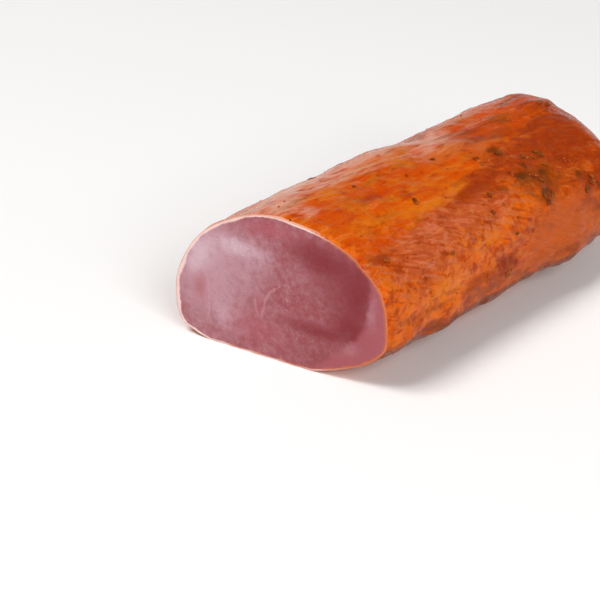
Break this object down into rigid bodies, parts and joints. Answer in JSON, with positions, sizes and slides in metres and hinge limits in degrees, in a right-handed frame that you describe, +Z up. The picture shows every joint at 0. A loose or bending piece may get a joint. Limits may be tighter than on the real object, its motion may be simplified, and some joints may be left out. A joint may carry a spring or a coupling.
{
  "type": "marinated pork loin",
  "caption": "Boneless pork loin in an orange paprika marinade with dried herb flakes, cut across at the near end to show its pink meat and rounded at the far end.",
  "frame": {"origin": "on the surface the loin lies on, under the middle of its bounding box", "axes": "+Y along the loin from the cut face to the rounded end, +Z up, +X across the loin towards the flank with the lean shoulder"},
  "size_m": [0.1088, 0.2164, 0.0723],
  "materials": {
    "marinated_coat": "wet paprika and oil marinade, glossy on the fat and rougher on the lean",
    "cut_lean": "moist cut pork, satin, with a pale fat rim",
    "dried_herb": "dried herb flakes, dull with an oily film"
  },
  "bodies": {
    "root": {"pork_loin": "marinated_coat"}
  },
  "joints": []
}
